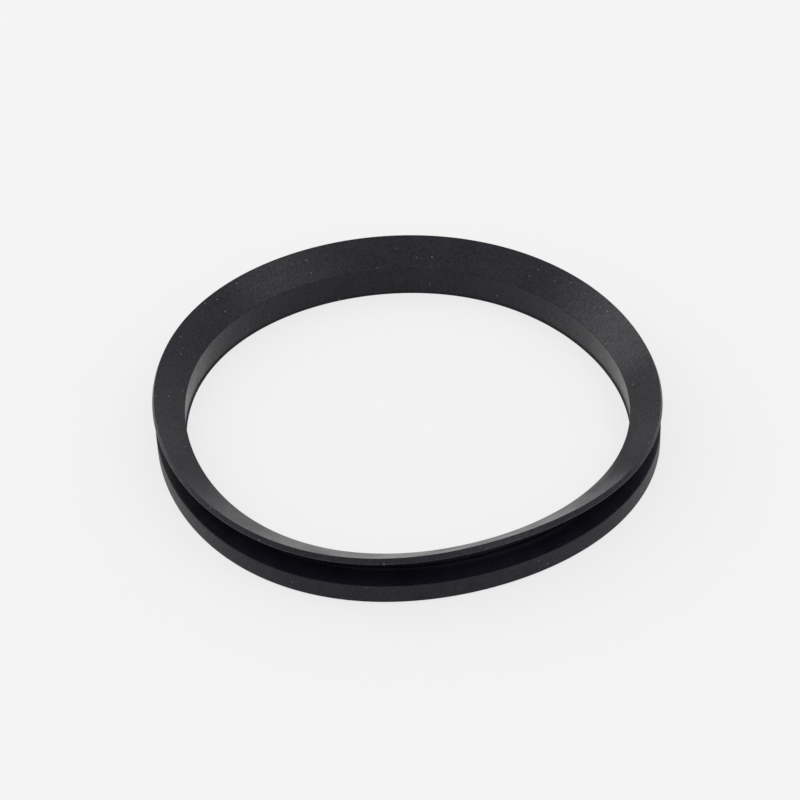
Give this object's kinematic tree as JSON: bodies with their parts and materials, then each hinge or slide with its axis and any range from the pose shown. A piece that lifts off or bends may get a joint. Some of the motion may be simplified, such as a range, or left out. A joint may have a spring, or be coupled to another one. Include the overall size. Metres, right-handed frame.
{
  "type": "v-ring shaft seal",
  "caption": "Rubber V-ring shaft seal: a flat-backed ring with a thin conical lip and a V groove open to the outside.",
  "frame": {"origin": "centre of the flat back face, on the ring's axis", "axes": "+Z along the ring's axis, from the flat back to the sealing lip; the section is the same all the way round"},
  "size_m": [0.1132, 0.1132, 0.0128],
  "materials": {
    "rubber": "satin moulded black rubber, as on an oil-resistant nitrile seal"
  },
  "bodies": {
    "root": {"seal_ring": "rubber"}
  },
  "joints": []
}
